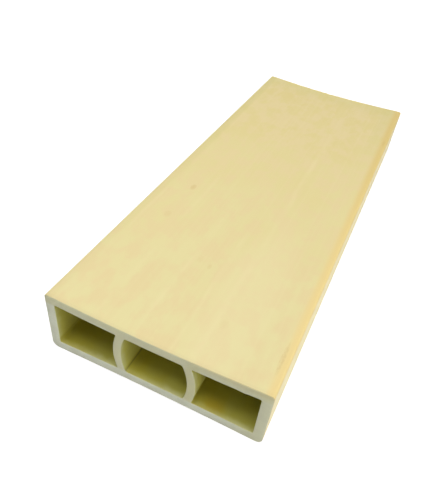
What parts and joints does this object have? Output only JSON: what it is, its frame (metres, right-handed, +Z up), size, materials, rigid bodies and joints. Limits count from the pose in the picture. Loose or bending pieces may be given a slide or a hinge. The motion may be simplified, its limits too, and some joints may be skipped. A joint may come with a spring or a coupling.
{
  "type": "hollow pvc wall panel board",
  "caption": "Flat extruded plastic board, open at both ends, with parallel lengthwise chambers between bowed webs, slightly hollowed broad faces and rounded long edges.",
  "frame": {"origin": "centre of the plane that the board rests on, midway across its width and along its length", "axes": "+X across the width, towards the narrower outer chamber; +Y along the length, away from the cut end seen in the picture; +Z up, out of the visible face"},
  "size_m": [0.1, 0.263, 0.0328],
  "materials": {
    "pvc": "matte cream rigid PVC as extruded, plain and uncoated, greyer on the sawn ends"
  },
  "bodies": {
    "root": {"panel": "pvc"}
  },
  "joints": []
}
